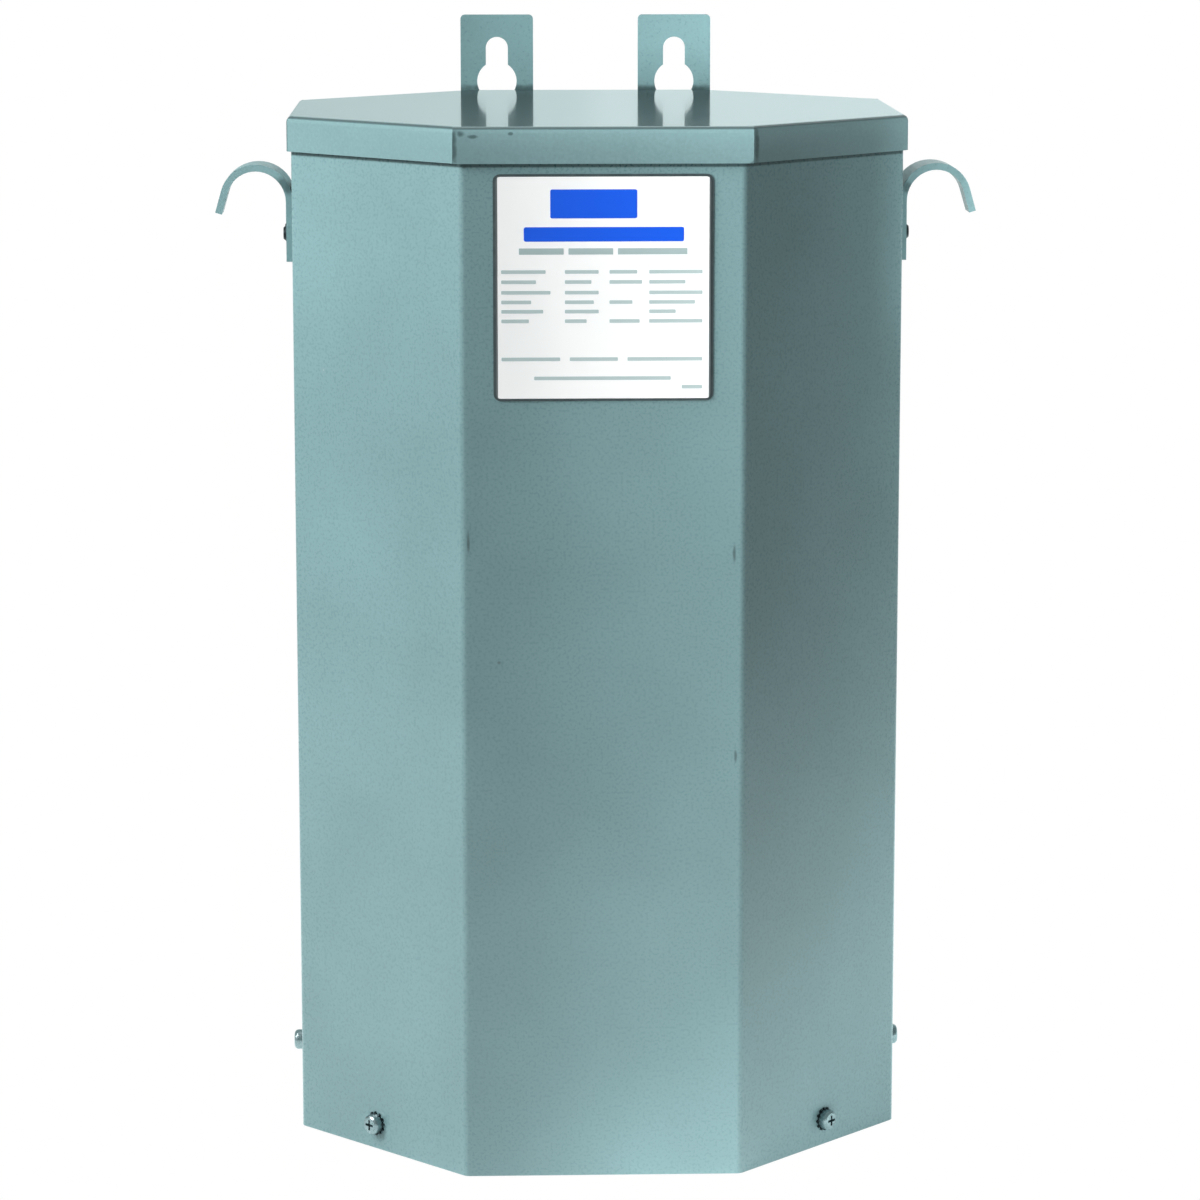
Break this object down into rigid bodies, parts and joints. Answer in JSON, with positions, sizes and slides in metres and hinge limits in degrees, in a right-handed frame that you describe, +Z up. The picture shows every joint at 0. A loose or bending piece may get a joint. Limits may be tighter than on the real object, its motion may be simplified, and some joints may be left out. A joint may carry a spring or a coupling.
{
  "type": "isolation transformer",
  "caption": "Wall-hung encapsulated isolation transformer in an eight-sided sheet steel case with rear keyhole straps, side lifting hooks and a removable bottom cover.",
  "frame": {"origin": "middle of the eight-sided case outline, on the plane of the case's lower edge and the bottom cover", "axes": "+Z up, +X to the right seen from the front, front face with the nameplate towards -Y, wall straps towards +Y"},
  "size_m": [0.3322, 0.2709, 0.4855],
  "materials": {
    "case_paint": "satin grey-green enamel on steel sheet",
    "lid_paint": "glossy grey-green enamel on steel sheet",
    "zinc": "bright zinc plated steel",
    "dark_zinc": "dark zinc plated steel",
    "plate_white": "white printed face",
    "plate_dark": "dark backing film",
    "compound": "cast sand and resin",
    "board": "laminated phenolic board",
    "lamination_steel": "oxide coated electrical steel",
    "copper": "enamelled copper wire",
    "foil": "bare copper foil",
    "paper": "impregnated insulating paper",
    "foam": "closed-cell pad",
    "brass": "machined brass",
    "lead_jacket": "insulated stranded lead",
    "aluminium": "tin plated aluminium"
  },
  "bodies": {
    "case": {"front_shell": "case_paint", "rear_shell": "case_paint", "lid": "lid_paint", "cover_screws": "zinc", "screw_washers": "dark_zinc", "cover_nuts": "zinc", "left_mounting_strap": "case_paint", "right_mounting_strap": "case_paint", "left_lifting_hook": "case_paint", "right_lifting_hook": "case_paint", "hook_rivets": "dark_zinc", "nameplate_backing": "plate_dark", "nameplate": "plate_white", "top_pad": "foam", "potting_compound": "compound", "barrier_board": "board", "e_laminations": "lamination_steel", "i_laminations": "lamination_steel", "core_clamps": "lamination_steel", "core_bolts": "zinc", "core_nuts": "zinc", "coil_former": "paper", "primary_winding": "copper", "shield_foil": "foil", "secondary_winding": "copper", "outer_insulation": "paper", "primary_leads": "lead_jacket", "secondary_leads": "lead_jacket", "primary_terminal_board": "board", "secondary_terminal_board": "board", "terminal_studs": "brass", "stud_nuts": "brass", "stud_washers": "brass", "earth_lug": "aluminium", "earth_screws": "zinc"},
    "bottom_cover": {"bottom_cover": "case_paint", "knockout_slugs": "case_paint"}
  },
  "joints": [
    {"name": "bottom_cover_slide", "type": "slide", "parent": "case", "child": "bottom_cover", "axis": [0, 0, -1], "range_m": [0, 0.1]}
  ]
}
